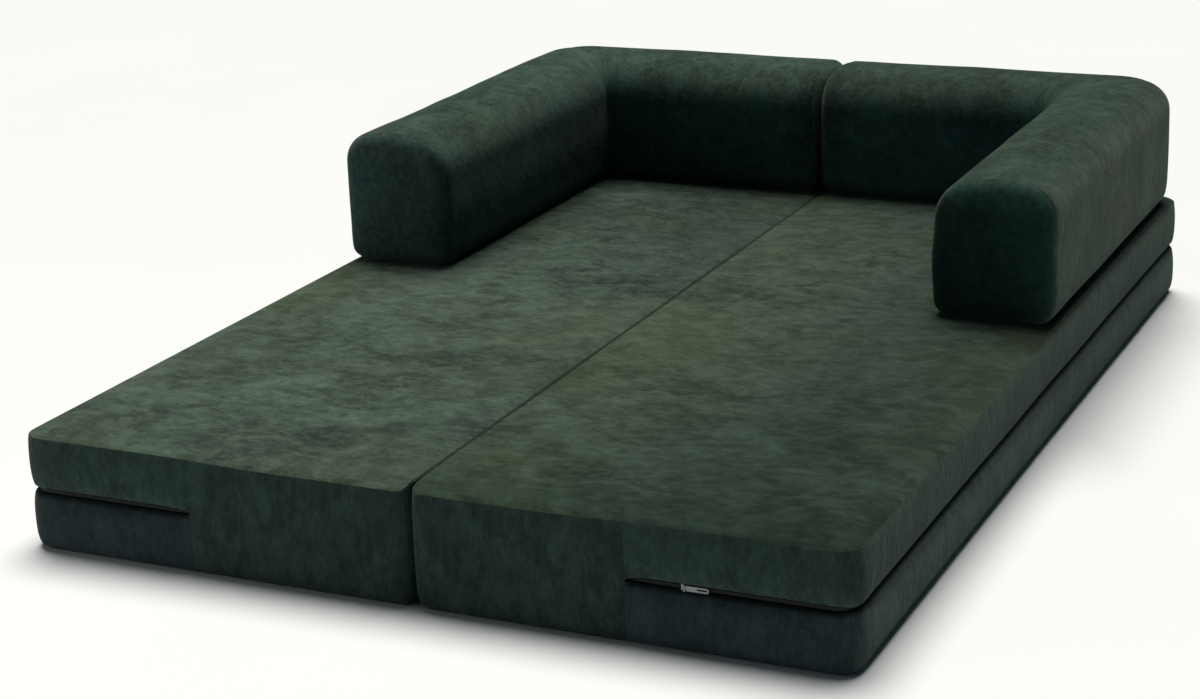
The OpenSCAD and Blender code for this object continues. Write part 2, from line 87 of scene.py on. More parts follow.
# Sizes of the mattress, read from the frame
TOP_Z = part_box("right_top_cover")[1].z
RIM_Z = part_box("right_upper_zip_band")[1].z + 1.5 * MM
LIP_TOP_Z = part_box("right_upper_zip_band")[0].z
LIP_LOW_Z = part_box("right_lower_zip_band")[1].z
BASE_RIM_Z = 3 * MM
FOLD_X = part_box("right_inner_band")[0].x
ZIP_X = {"right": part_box("right_upper_zip_band")[0].x, "left": -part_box("left_upper_zip_band")[1].x}

# Sizes of a bolster, read from the frame
BOLSTER_OUT_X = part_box("right_arm_cover")[1].x
BOLSTER_OUT_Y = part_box("right_back_cover")[1].y
BOLSTER_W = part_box("right_arm_end_cap")[1].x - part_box("right_arm_end_cap")[0].x
BOLSTER_TOP_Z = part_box("right_arm_cover")[1].z
FOOT_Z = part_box("right_arm_cover")[0].z
ARM_END_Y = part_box("right_arm_end_cap")[0].y
BACK_END_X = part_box("right_back_end_cap")[0].x
ZIP_LOW_X, ZIP_HIGH_X = (corner.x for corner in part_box("right_bolster_zip"))


def length(name, description, default):
    """A size in metres."""
    return FloatProperty(name=name, description=description, default=default, unit="LENGTH")


def angle(name, description, degrees):
    return FloatProperty(name=name, description=description, default=radians(degrees), unit="ROTATION")


def amount(name, description, default):
    return FloatProperty(name=name, description=description, default=default)


def triple(name, description, subtype, default):
    """A colour, a place or a way, by its subtype."""
    return FloatVectorProperty(name=name, description=description, subtype=subtype, default=default, size=3)


class SofaMattressSizes(bpy.types.PropertyGroup):
    """Shape of the mattress covers"""

    corner_r: length("Corner radius", "Plan radius of the outer corners", 40 * MM)
    fold_r: length("Fold corner radius", "Plan radius of the corners beside the fold", 18 * MM)
    seam_in: length("Seam inset", "Inset of the sewn edge of the top", 2.4 * MM)
    soft_drop: length("Soft drop", "How much lower the top's soft edge is sewn", 4 * MM)
    fold_draw: length("Fold draw", "How far the covers draw in to the fold line", 2.2 * MM)
    side_draw: length("Side draw", "How far the long sides pull in", 2.5 * MM)
    top_thickness: length("Top thickness", "Thickness of the quilted top cover", 6 * MM)
    thickness: length("Cover thickness", "Thickness of the other quilted covers", 4 * MM)
    columns: IntProperty(name="Columns", description="Faces across the top", default=44)
    rows: IntProperty(name="Rows", description="Faces along the top", default=120)
    zip_start: amount("Slot start", "Share of the slot's height where it starts", 0.75)
    zip_taper: length("Slot taper", "Length over which the slot opens fully", 30 * MM)
    side_slot: amount("Slot on the side", "Share of the slot's height on the long side", 0.5)
    swell: length("Swell", "How far the simulated cover may move", 2.5 * MM)


class SofaBolsterSizes(bpy.types.PropertyGroup):
    """Shape of the bolsters"""

    seat_r: length("Seat edge radius", "Radius of the top edge on the seat side", 76 * MM)
    outer_r: length("Outer edge radius", "Radius of the top edge on the outer side", 58 * MM)
    foot_r: length("Foot radius", "Radius of the two foot edges", 30 * MM)
    bend_r: length("Bend radius", "Plan radius of the outer corner", 90 * MM)
    crease_r: length("Crease radius", "Plan radius of the inner corner", 12 * MM)
    cap_r: length("Cap radius", "Radius round the end caps", 26 * MM)
    thickness: length("Cover thickness", "Thickness of the padded covers", 4 * MM)
    swell: length("Swell", "How far the simulated cover may move", 2 * MM)


class SofaClothColours(bpy.types.PropertyGroup):
    """Colours of the chenille"""

    top: triple("Top", "Chenille of the lying surface", "COLOR", (0.038, 0.056, 0.041))
    side: triple("Side", "Chenille of the upper side bands", "COLOR", (0.025, 0.048, 0.042))
    lower: triple("Lower band", "Chenille below the zip", "COLOR", (0.033, 0.054, 0.060))
    bolster: triple("Bolster", "Chenille of the bolsters", "COLOR", (0.027, 0.046, 0.035))
    sheen: amount("Sheen", "Strength of the pile's sheen", 0.10)


class SofaStage(bpy.types.PropertyGroup):
    """Camera and studio light"""

    camera: triple("Camera", "Place of the camera", "TRANSLATION", (1.735, -3.993, 1.522))
    yaw: angle("Yaw", "Turn of the view to the right", -25.23)
    pitch: angle("Pitch", "Tilt of the view down", 18.03)
    roll: angle("Roll", "Roll of the view", -1.98)
    focal_px: amount("Focal length", "Focal length in pixels of the photograph", 2508.5)
    photo_w: IntProperty(name="Photo width", description="Width of the photograph in pixels", default=1200)
    floor: length("Floor", "Reach of the floor from its middle", 30)
    sky: amount("Sky", "Strength of the room's soft light", 0.04)
    sky_colour: triple("Sky colour", "Colour of the room's soft light", "COLOR", (0.50, 0.88, 1.0))
    overhead: amount("Overhead", "Strength of the light overhead", 3.6)
    overhead_colour: triple("Overhead colour", "Colour of the light overhead", "COLOR", (1.0, 0.99, 0.95))
    softness: angle("Softness", "Width of the light overhead, seen as an angle", 38)
    toward: triple("Toward the light", "Way from the sofa to the light", "DIRECTION", (-0.12, 0.30, 1.0))
    window: amount("Window", "Power of the window light in watts", 10.5)
    window_size: length("Window size", "Width of the window light", 1.8)
    window_place: triple("Window place", "Place of the window light", "TRANSLATION", (-2.4, -2.8, 0.9))
    window_aim: triple("Window aim", "Point that the window light faces", "TRANSLATION", (-0.4, -0.6, 0.2))


def look_of(group):
    """One of the add-on's property groups."""
    return getattr(bpy.context.scene, f"sofa_{group}")


def lerp(a, b, t):
    return a + (b - a) * t


def clamp(x, low=0.0, high=1.0):
    return max(low, min(high, x))


def smooth(low, high, x):
    t = clamp((x - low) / (high - low))
    return t * t * (3 - 2 * t)


def bow(t):
    """0 at both ends and 1 in the middle."""
    return 4 * t * (1 - t)


# The cloth's soft unevenness: each kind's scale in metres and height in millimetres
UNEVEN = {"dip": (0.33, 1.3), "dent": (0.11, 0.5), "tuft": (0.028, 0.5), "pucker": (0.035, 0.55),
    "wall": (0.22, 1.1), "welt": (0.03, 0.3), "bolster_dip": (0.19, 2.2), "bolster_dent": (0.07, 0.7)}


def uneven(kind, x, y, z, seed):
    """Smooth noise of one kind, up to its height either way."""
    scale, height = UNEVEN[kind]
    return noise.noise(Vector((x, y, z)) / scale + Vector((seed, 2 * seed, 3 * seed))) * height * MM


class Tone:
    """A shader socket that can be used in sums, so that shader maths reads as an expression."""

    def __init__(self, tree, socket):
        self.tree = tree
        self.socket = socket

    def math(self, operation, *others):
        return node(self.tree, "ShaderNodeMath", {"operation": operation}, dict(enumerate([self, *others])))

    def __add__(self, other):
        return self.math("ADD", other)

    def __mul__(self, other):
        return self.math("MULTIPLY", other)

    def __sub__(self, other):
        return self.math("SUBTRACT", other)

    def __rsub__(self, other):
        return node(self.tree, "ShaderNodeMath", {"operation": "SUBTRACT"}, {0: other, 1: self})

    __radd__ = __add__
    __rmul__ = __mul__

    def between(self, low, high):
        """0 below low, 1 above high and smooth between them."""
        return node(self.tree, "ShaderNodeMapRange", {"interpolation_type": "SMOOTHSTEP"},
            {"Value": self, "From Min": low, "From Max": high})


def node(tree, kind, settings=None, inputs=None, output=0):
    """A node of a type with its settings, and the values or links of its sockets; returns one output."""
    made = tree.nodes.new(kind)
    for name, value in (settings or {}).items():
        setattr(made, name, value)
    for name, value in (inputs or {}).items():
        if isinstance(value, Tone):
            tree.links.new(value.socket, made.inputs[name])
        else:
            made.inputs[name].default_value = value
    return Tone(tree, made.outputs[output])


# Sockets of a Mix node for colours: the share, the two colours and the result
MIX_SHARE, MIX_A, MIX_B, MIX_RESULT = 0, 6, 7, 2


def mixed(tree, a, b, share, blend="MIX"):
    """Two colours mixed by a share."""
    a, b = (value if isinstance(value, Tone) else (*value, 1) for value in (a, b))
    return node(tree, "ShaderNodeMix", {"data_type": "RGBA", "blend_type": blend},
        {MIX_SHARE: share, MIX_A: a, MIX_B: b}, MIX_RESULT)


def new_material(name):
    """A new material's tree, and a function that sets its Principled shader and returns the material."""
    material = bpy.data.materials.new(name)
    material.use_nodes = True
    tree = material.node_tree
    shader = tree.nodes["Principled BSDF"]

    def finish(**values):
        for key, value in values.items():
            socket = shader.inputs[key.replace("_", " ")]
            if isinstance(value, Tone):
                tree.links.new(value.socket, socket)
            else:
                socket.default_value = value
        return material

    return tree, finish


def axes(tree, place):
    """The three coordinates of a place."""
    split = node(tree, "ShaderNodeSeparateXYZ", None, {0: place}).socket.node
    return [Tone(tree, socket) for socket in split.outputs]


def object_map(tree):
    return node(tree, "ShaderNodeTexCoord", output="Object")


def cloth_map(tree, stretch):
    """The cloth's own coordinates in metres, stretched so that a pattern runs along the nap."""
    uv = node(tree, "ShaderNodeTexCoord", output="UV")
    return node(tree, "ShaderNodeMapping", None, {"Vector": uv, "Scale": stretch})


def noise_tone(tree, place, scale, detail=3.0, rough=0.55, twist=0.0):
    return node(tree, "ShaderNodeTexNoise", {"noise_dimensions": "3D"},
        {"Vector": place, "Scale": scale, "Detail": detail, "Roughness": rough, "Distortion": twist})


def bumped(tree, height, strength, distance):
    return node(tree, "ShaderNodeBump", None, {"Height": height, "Strength": strength, "Distance": distance})


def scaled(colour, by):
    return tuple(by * c for c in colour)


# Patterns of the chenille's pile: whether they run along the nap, the noise's scale, detail, roughness and
# distortion, and the range of the noise that is spread from 0 to 1
PILE = {"clouds": (False, (3.4, 3.0, 0.6, 0.4), (0.36, 0.66)), "warmth": (False, (2.1, 2.0, 0.5, 0.2), (0.44, 0.70)),
    "marks": (True, (11.0, 5.0, 0.62, 0.7), (0.41, 0.61)), "crushed": (True, (32.0, 4.0, 0.64, 0.5), (0.39, 0.63)),
    "flecks": (True, (95.0, 2.0, 0.6, 0.0), (0.30, 0.70))}
# Colour of the warm clouds
WARM = (0.050, 0.064, 0.026)
# Unevenness of a tint's border, as a share of its width
BORDER = 0.7


def chenille(name, tone, nap, patch=1.0, streak=1.0, lift=1.0, tints=()):
    """Chenille cloth with a crushed pile. Nap stretches its marks along the pile, patch and streak are the
    strength of its clouds and of its marks, and lift brightens its raised pile; copies of one cloth with different
    lifts are painted light and shade, and the tints paint light and shade over zones of the cloth."""
    tree, finish = new_material(name)
    plain = cloth_map(tree, (1, 1, 1))
    drawn = cloth_map(tree, nap)
    clouds, warmth, marks, crushed, flecks = (noise_tone(tree, drawn if along else plain, *pattern).between(*spread)
        for along, pattern, spread in PILE.values())
    pile = noise_tone(tree, plain, 700.0, 2.0, 0.6)
    light = clouds * (0.26 * patch) + marks * (0.30 * streak) + crushed * (0.26 * streak) + flecks * 0.16 + 0.02
    bright = tuple(1.72 * c * lift + 0.003 * lift for c in tone)
    colour = mixed(tree, scaled(tone, 0.36), bright, light)
    colour = mixed(tree, colour, scaled(WARM, lift), warmth * (0.30 * patch))
    # Painted light and shade: zones of the cloth made lighter or darker by the tints
    colour = painted_light_and_shade(tree, plain, colour, clouds * 0.6 + marks * 0.4, tints)
    bump = bumped(tree, pile * 0.35 + crushed * 0.6 + marks * 0.6, 0.45, 0.0014)
    return finish(Base_Color=colour, Roughness=0.94 - crushed * 0.08, Normal=bump,
        Sheen_Weight=look_of("colours").sheen, Sheen_Roughness=0.50, Sheen_Tint=(0.90, 1.0, 0.86, 1),
        Specular_IOR_Level=0.05)


def painted_light_and_shade(tree, place, colour, cloudy, tints):
    """Tints the cloth with painted light and shade over zones of it, with an uneven border. A tint has an axis of the
    cloth, the place where it starts, the place where it is full, and its colour."""
    places = axes(tree, place)
    for axis, start, full, tint in tints:
        share = (places[axis] + (cloudy - 0.5) * (BORDER * abs(full - start))).between(start, full)
        colour = mixed(tree, colour, tint, share, "MULTIPLY")
    return colour


# Points of a bolster's section between which painted shade sets in: down its outer wall, and down its seat side
OUTER_SHADE = (26, 19)
SEAT_SHADE = (41, 50)


def bolster_chenille(name, lift, outer, seat):
    """A bolster's chenille, with painted shade on its outer wall and bluish painted shade on its seat side."""
    girth = bolster_girth()
    tints = [(0, girth[start], girth[full], tint) for (start, full), tint in ((OUTER_SHADE, outer), (SEAT_SHADE, seat))]
    return chenille(name, look_of("colours").bolster, (1.2, 1.3, 1), 0.5, 0.42, lift, tints)


def woven(name, colour, thread):
    """Plain woven cloth or tape, with a thread width in metres."""
    tree, finish = new_material(name)
    place = object_map(tree)
    along, across, up = axes(tree, place)
    step = pi / thread
    warp = ((along + across) * step).math("SINE")
    weft = ((up + across * 0.5) * step).math("SINE")
    weave = warp * weft * 0.5 + 0.5
    worn = noise_tone(tree, place, 14.0)
    tint = mixed(tree, colour, scaled(colour, 2.2), weave * 0.45 + worn * 0.35)
    return finish(Base_Color=tint, Roughness=0.85, Normal=bumped(tree, weave, 0.3, thread * 0.4),
        Specular_IOR_Level=0.06)


def toothed(name, colour, pitch):
    """A closed row of nylon teeth, as ridges square to the zip."""
    tree, finish = new_material(name)
    along, across, up = axes(tree, object_map(tree))
    ridge = ((along + across) * (2 * pi / pitch)).math("SINE") * 0.5 + 0.5
    tint = mixed(tree, colour, scaled(colour, 2.4), ridge)
    return finish(Base_Color=tint, Roughness=0.46 + ridge * 0.12, Normal=bumped(tree, ridge, 0.8, pitch * 0.3),
        Specular_IOR_Level=0.25)


def zip_metal(name, colour):
    """Scuffed metal of the sliders and pulls."""
    tree, finish = new_material(name)
    scuffs = noise_tone(tree, object_map(tree), 220.0, 4.0, 0.7).between(0.42, 0.72)
    tint = mixed(tree, colour, scaled(colour, 1.35), scuffs)
    return finish(Base_Color=tint, Metallic=1.0, Roughness=0.28 + scuffs * 0.22,
        Normal=bumped(tree, scuffs, 0.15, 0.0002))


def spongy(name, colour, cell):
    """Foam or wadding: cells or fibres a few millimetres wide."""
    tree, finish = new_material(name)
    place = object_map(tree)
    cells = node(tree, "ShaderNodeTexVoronoi", {"feature": "F1"}, {"Vector": place, "Scale": 1 / cell})
    cloud = noise_tone(tree, place, 8.0, 2.0)
    tint = mixed(tree, colour, scaled(colour, 0.78), cells * 0.5 + cloud * 0.3)
    return finish(Base_Color=tint, Roughness=0.95, Normal=bumped(tree, cells, 0.5, cell * 0.4))


def floor_paint(name):
    """A plain pale floor."""
    tree, finish = new_material(name)
    mottle = noise_tone(tree, object_map(tree), 1.4, 2.0)
    pale = mixed(tree, (0.86, 0.86, 0.86), (0.90, 0.90, 0.90), mottle)
    return finish(Base_Color=pale, Roughness=0.7, Specular_IOR_Level=0.1)


# How far the marks are stretched across and along the cloth
TOP_NAP = (1.0, 1.5, 1)
SIDE_NAP = (2.0, 0.9, 1)
EVEN_NAP = (1, 1, 1)
# Where a side wall's painted light and shade sets in, round the outer corner onto the long side, and a cap's painted
# highlight, at its top
CORNER = (0, HALF_W - 0.03, HALF_W + 0.08)
CAP_TOP = (0, BOLSTER_TOP_Z - 0.075, BOLSTER_TOP_Z - 0.012)
# Painted light and shade on the lying surface, across it and along it from the foot end: the right half lighter
# towards the fold and darker towards its long side and both ends, the left half darker towards its head end and the
# fold
TOP_LIGHT_AND_SHADE = {
    "right": [(0, 0.34, 0.10, (1.22, 1.22, 1.08)), (0, 0.30, 0.47, (0.66, 0.71, 0.70)),
        (1, 0.16 - HALF_L, 0.02 - HALF_L, (0.72, 0.80, 0.80)), (1, 0.62 - HALF_L, 0.26 - HALF_L, (0.78, 0.82, 0.82)),
        (1, 0.25, 0.65, (0.78, 0.82, 0.88))],
    "left": [(1, 0.0, 0.6, (0.68, 0.70, 0.72)), (0, 0.30, 0.05, (0.84, 0.85, 0.86))]}
MATERIALS = {}


def finishes():
    """Each finish's maker, and what the maker is given after the finish's name."""
    look = look_of("colours")
    return {
        # The right half's top: the darker, shaded copy of the top's chenille, with its painted light and shade
        "top_chenille": (chenille, look.top, TOP_NAP, 1.0, 1.2, 0.88, TOP_LIGHT_AND_SHADE["right"]),
        # The left half's top: a lit copy of the same chenille, painted light, with its own painted shade
        "left_top_lit_chenille": (chenille, look.top, TOP_NAP, 0.8, 0.8, 1.60, TOP_LIGHT_AND_SHADE["left"]),
        # The fold's seam: the top's chenille made darker, painted shade in the fold's groove
        "seam_shaded_chenille": (chenille, look.top, TOP_NAP, 0.4, 0.5, 0.55),
        # Upper bands: painted shade makes the long side darker past the outer corner
        "side_chenille": (chenille, look.side, SIDE_NAP, 0.3, 0.7, 0.92, [(*CORNER, (0.72, 0.82, 0.80))]),
        # Lower bands: painted light makes the long side lighter past the outer corner
        "lower_chenille": (chenille, look.lower, SIDE_NAP, 0.15, 0.5, 0.88, [(*CORNER, (1.30, 1.38, 1.22))]),
        # The right bolster: a darker copy of the bolster's chenille, with painted shade on its outer wall and seat
        # side
        "bolster_chenille": (bolster_chenille, 1.8144, (0.66, 0.75, 0.77), (0.65, 1.0, 1.3)),
        # The left bolster: a lit copy of the same chenille, painted light, with painted shade on its outer wall and
        # seat side
        "left_bolster_lit_chenille": (bolster_chenille, 2.352, (0.9, 0.9, 0.9), (0.45, 0.76, 0.92)),
        # The right arm's cap: a shaded copy, darker than the left's, with a painted highlight over its top
        "right_cap_painted_light_chenille": (chenille, (0.0076, 0.0300, 0.0250), EVEN_NAP, 0.3, 0.25, 1.3,
            [(*CAP_TOP, (3.2, 2.1, 2.0))]),
        # The left arm's cap: a lit copy, with a painted highlight over its top
        "left_cap_painted_light_chenille": (chenille, (0.0310, 0.0620, 0.0590), EVEN_NAP, 0.3, 0.25, 1.4,
            [(*CAP_TOP, (1.35, 1.2, 1.1))]),
        "base_cloth": (woven, (0.018, 0.022, 0.021), 0.0016),
        "zip_tape": (woven, (0.0008, 0.0010, 0.0014), 0.0009),
        "zip_teeth": (toothed, (0.0022, 0.0026, 0.0034), 0.0028),
        "zip_metal": (zip_metal, (0.15, 0.155, 0.165)),
        "foam": (spongy, (0.78, 0.70, 0.46), 0.003),
        "wadding": (spongy, (0.84, 0.84, 0.82), 0.006),
        "studio_floor": (floor_paint,),
    }


def material(name):
    """Each finish is made once, when a piece first asks for it."""
    if name not in MATERIALS:
        maker, *given = finishes()[name]
        MATERIALS[name] = maker(name, *given)
    return MATERIALS[name]


def placed(name, data):
    """A new object in the scene, at the origin."""
    made = bpy.data.objects.new(name, data)
    bpy.context.scene.collection.objects.link(made)
    return made


def add_object(name, bm, finish):
    """Makes an object of a finished bmesh and its finish."""
    mesh = bpy.data.meshes.new(name)
    bm.to_mesh(mesh)
    bm.free()
    mesh.shade_smooth()
    mesh.materials.append(material(finish))
    made = placed(name, mesh)
    return made


def quilt(made, thickness):
    """Gives a skin its thickness inwards."""
    wall = made.modifiers.new("Quilt", "SOLIDIFY")
    wall.thickness = thickness
    wall.offset = -1


def part_cover(skin, number, side, body, label, cad, finish, thickness):
    """Makes the faces of one panel a piece of quilted cover, which stands for a CAD node and rides on a body."""
    bm = skin.copy()
    layer = bm.faces.layers.int["panel"]
    bmesh.ops.delete(bm, geom=[f for f in bm.faces if f[layer] != number], context="FACES")
    for edge in bm.edges:
        edge.smooth = not edge.is_boundary
    made = add_object(f"{side}_{label}", bm, finish)
    skin = made.modifiers.new("Smooth", "SUBSURF")
    skin.levels = 1
    skin.render_levels = 1
    skin.boundary_smooth = "PRESERVE_CORNERS"
    quilt(made, thickness)
    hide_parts(f"{side}_{cad}")
    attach(made, f"{side}_{body}")


# Settings of the covers' cloth while they settle
COVER_CLOTH = {"quality": 5, "mass": 0.35, "tension_stiffness": 18, "compression_stiffness": 18,
    "shear_stiffness": 8, "bending_stiffness": 1.2, "air_damping": 3, "use_pressure": True,
    "vertex_group_mass": "sewn", "pin_stiffness": 1.0}


def settle(bm, pinned, limit, frames=10, pressure=3.0, evened=0):
    """Blows the sewn covers out with simulated cloth. Pinned is how firmly each vertex is held, limit how far one
    may move, and evened how often the moves are averaged with their neighbours'."""
    if limit <= 0:
        return
    scene = bpy.context.scene
    mesh = bpy.data.meshes.new("settling")
    bm.to_mesh(mesh)
    body = placed("settling", mesh)
    group = body.vertex_groups.new(name="sewn")
    for index, hold in enumerate(pinned):
        if hold > 0:
            group.add([index], hold, "REPLACE")
    cloth = body.modifiers.new("Cloth", "CLOTH")
    for name, value in COVER_CLOTH.items():
        setattr(cloth.settings, name, value)
    cloth.settings.uniform_pressure_force = pressure
    cloth.settings.effector_weights.gravity = 0
    cloth.collision_settings.use_collision = False
    cloth.collision_settings.use_self_collision = False
    cloth.point_cache.frame_start = 1
    cloth.point_cache.frame_end = frames
    for step in range(1, frames + 1):
        scene.frame_set(step)
    moved = body.evaluated_get(bpy.context.evaluated_depsgraph_get()).data.vertices
    bm.normal_update()
    shifts = []
    for vert, new in zip(bm.verts, moved):
        shift = new.co - vert.co
        sunk = min(shift.dot(vert.normal) + SINK, 0)
        shift -= vert.normal * sunk
        shifts.append(shift * min(1, limit / max(shift.length, TINY)))
    bm.verts.index_update()
    for turn in range(evened):
        shifts = [shift if hold else neighbours_mean(vert, shifts)
            for vert, hold, shift in zip(bm.verts, pinned, shifts)]
    for vert, shift in zip(bm.verts, shifts):
        vert.co += shift
    scene.frame_set(1)
    bpy.data.objects.remove(body)
    bpy.data.meshes.remove(mesh)


def neighbours_mean(vert, values):
    """The mean of the values of a vertex's neighbours."""
    return sum((values[e.other_vert(vert).index] for e in vert.link_edges), Vector()) / len(vert.link_edges)


def mirror_left(bm, side):
    """The left half is the right half's mirror image."""
    if side == "left":
        bmesh.ops.scale(bm, vec=(-1, 1, 1), verts=bm.verts)
        bmesh.ops.reverse_faces(bm, faces=bm.faces)


def laid_grid(bm, xs, ys):
    """Adds a grid with a vertex for each of the places, and gives each vertex with its place."""
    for vert in bmesh.ops.create_grid(bm, x_segments=len(xs) - 1, y_segments=len(ys) - 1, size=0.5)["verts"]:
        yield vert, xs[round((vert.co.x + 0.5) * (len(xs) - 1))], ys[round((vert.co.y + 0.5) * (len(ys) - 1))]


PANELS = {"top": 0, "upper": 1, "slot": 2, "lower": 3, "inner": 4, "base": 5}
# A column of the side wall from the top seam down: share of the way down the band over or under the slot, and
# how far it stands out in millimetres, where the zip runs and on the inner band
UPPER_ROWS = [(0.02, -1.2, -1.2), (0.06, -0.2, -0.3), (0.13, 0.7, 0.4), (0.25, 1.5, 1.0), (0.40, 2.0, 1.3),
    (0.55, 2.0, 1.5), (0.69, 1.7, 1.5), (0.80, 1.1, 1.5), (0.89, 0.1, 1.5), (0.95, -1.2, 1.5),
    (0.985, -3.2, 1.5), (1.0, -6.4, 1.5), (1.0, -10.2, 1.5), (1.0, -14.2, 1.5)]
LOWER_ROWS = [(0.0, -14.2, 1.5), (0.0, -10.2, 1.5), (0.0, -6.4, 1.5), (0.015, -3.2, 1.5), (0.05, -1.2, 1.5),
    (0.11, 0.1, 1.5), (0.19, 1.1, 1.4), (0.32, 1.8, 1.3), (0.47, 2.0, 1.1), (0.63, 1.8, 0.9), (0.78, 0.9, 0.4),
    (0.89, -1.2, -1.4), (0.96, -4.2, -4.2), (1.0, -9.0, -9.0)]
# The inner band has no slot, so its rows there are spread: steps by the row, counted from the slot
SPREAD_STEPS = {-2: -1, -1: -2, 0: 2, 1: 1}
SPREAD = 2.4 * MM
# Distances from the slot's middle within which it closes towards its start, partly and fully
LIP_REACH, LIP_FULL = 14 * MM, 6 * MM
# How much closer faces lie at both ends of a side
CLOSER = 0.78
# The seam at the zip's start: how far the columns beside it lie, how much the one past it is shaped like the
# zip's wall, and the seam's depth in millimetres
BESIDE, BESIDE_SHARE, SEAM_IN = 3 * MM, 0.55, 1.6
# The top's edge softens from the first to the second distance past the zip's start
SOFT_FROM, SOFT_FULL = 60 * MM, -140 * MM
# Reaches of the crown's crisp, soft and slow rise, and the share that rises fast
CRISP_REACH, SOFT_REACH, SLOW_REACH, FAST_SHARE = 7 * MM, 13 * MM, 45 * MM, 0.75
# Dip of the crown beside the fold, and its reach
FOLD_DIP, FOLD_DIP_REACH = 0.14, 4 * MM
# How far the lying surface has sunk
SUNK = 1.2 * MM
# Reaches of the covers' draw to the fold line, inwards and down, and where it ends
PINCH_IN, PINCH_DOWN, PINCH_ENDS = 9 * MM, 14 * MM, (4 * MM, 30 * MM)
# Reach of the puckers under the top seam, and of the base's round edge
PUCKER_REACH, BASE_REACH = 22 * MM, 7 * MM
# Widest gap that the base's seam closes
SEWN = 3 * MM
SEEDS = {"right": (11, 41), "left": (29, 57)}


def eased(t):
    """Shares from 0 to 1 that lie closer together at both ends."""
    return t - CLOSER * sin(2 * pi * t) / (2 * pi)


def place_on(steps, low, high):
    return [lerp(low, high, eased(i / steps)) for i in range(steps + 1)]


def rounded(x, y, inset):
    """Moves a point of the sharp rectangle of one half to the half's rounded outline, drawn in by an inset.
    Returns the point, the way out there, and the distance to the nearest side."""
    look = look_of("mattress")
    a, b = x - FOLD_X, HALF_W - x
    c = HALF_L - abs(y)
    way_y = 1 if y > 0 else -1
    outer = b < a
    r = look.corner_r if outer else look.fold_r
    side, way_x = (b, 1) if outer else (a, -1)
    centre_x = HALF_W - r if outer else FOLD_X + r
    centre_y = way_y * (HALF_L - r)
    if side < r and c < r:
        depth = min(side, c)
        ring = (r - inset) * (1 - depth / r)
        span = max(r - depth, TINY)
        if side < c:
            angle = pi / 4 * (1 + (c - depth) / span)
        else:
            angle = pi / 4 * (1 - (side - depth) / span)
        out = Vector((way_x * sin(angle), way_y * cos(angle), 0))
        return Vector((centre_x, centre_y, 0)) + out * ring, out, depth
    out = Vector((0, way_y, 0))
    if side < r:
        side_in = inset + side * (r - inset) / r
        x, out = HALF_W - side_in if outer else FOLD_X + side_in, Vector((way_x, 0, 0))
    elif c < r:
        y = way_y * (HALF_L - (inset + c * (r - inset) / r))
    return Vector((x, y, 0)), out, min(side, c)


def softness(x, zip_x):
    """1 over the inner band, where the top's edge is soft, and 0 over the zip, where it is crisp."""
    return smooth(zip_x + SOFT_FROM, zip_x + SOFT_FULL, x)


def crown(x, y, soft=0.0):
    """Share of the crown's rise at a point of the top: 0 on the sewn edge, and near 1 inside."""
    side = max(HALF_W - x, EDGE)
    end = max(HALF_L - abs(y), EDGE)
    reach = (side ** -4 + end ** -4) ** -0.25
    rise = FAST_SHARE * (1 - exp(-reach / lerp(CRISP_REACH, SOFT_REACH, soft)))
    rise += (1 - FAST_SHARE) * (1 - exp(-reach / SLOW_REACH))
    return rise * (1 - FOLD_DIP * exp(-(x - FOLD_X) / FOLD_DIP_REACH))


def edge_height(x, y, zip_x):
    """Height of the sewn edge under a point of the top."""
    soft = softness(x, zip_x)
    return lerp(RIM_Z - look_of("mattress").soft_drop * soft, TOP_Z, crown(x, y, soft))


def top_height(x, y, zip_x, seed):
    """Height of the lying surface, with the soft unevenness of quilted foam."""
    rise = crown(x, y, softness(x, zip_x))
    dip = uneven("dip", x, y, 0, seed) + uneven("dent", x, y, 0, seed) - SUNK
    tuft = uneven("tuft", x, y, 0, seed) * bow(clamp(rise))
    return min(edge_height(x, y, zip_x) + tuft + dip * smooth(0.3, 1.0, rise), TOP_Z)


def pinch(x, y, below=0.0):
    """How far the covers draw in to the fold line just under the top."""
    straight = smooth(HALF_L - PINCH_ENDS[0], HALF_L - PINCH_ENDS[1], abs(y))
    return look_of("mattress").fold_draw * straight * exp(-(x - FOLD_X) / PINCH_IN - below / PINCH_DOWN)


def side_place(base, out, row, spread, zipped, opening, rim, seed):
    """A point of the side wall under a point of the rim."""
    upper, share, out_zip, out_plain = row
    low, high = (LIP_TOP_Z, rim) if upper else (BASE_RIM_Z, LIP_LOW_Z)
    z = lerp(high, low, share)
    flat_z = z + spread
    middle = (LIP_TOP_Z + LIP_LOW_Z) / 2
    if abs(z - middle) < LIP_REACH:
        z = lerp(z, middle + (z - middle) * opening, smooth(LIP_REACH, LIP_FULL, abs(z - middle)))
    offset = lerp(out_plain, out_zip, zipped) * MM
    here = base + out * offset
    z = lerp(flat_z, z, zipped)
    pucker = uneven("pucker", here.x, here.y, z, seed) * exp(-abs(z - rim) / PUCKER_REACH)
    slow = uneven("wall", here.x, here.y, z, seed + 5) * bow(clamp((z - BASE_RIM_Z) / (rim - BASE_RIM_Z)))
    return Vector((here.x, here.y, z)) + out * (pucker + slow)


def cover_layers(bm):
    """The layers of a mattress cover: each face's panel, each vertex's place on the edge, and the cloth's map."""
    return bm.faces.layers.int["panel"], bm.verts.layers.float_vector["edge"], bm.loops.layers.uv["cloth"]


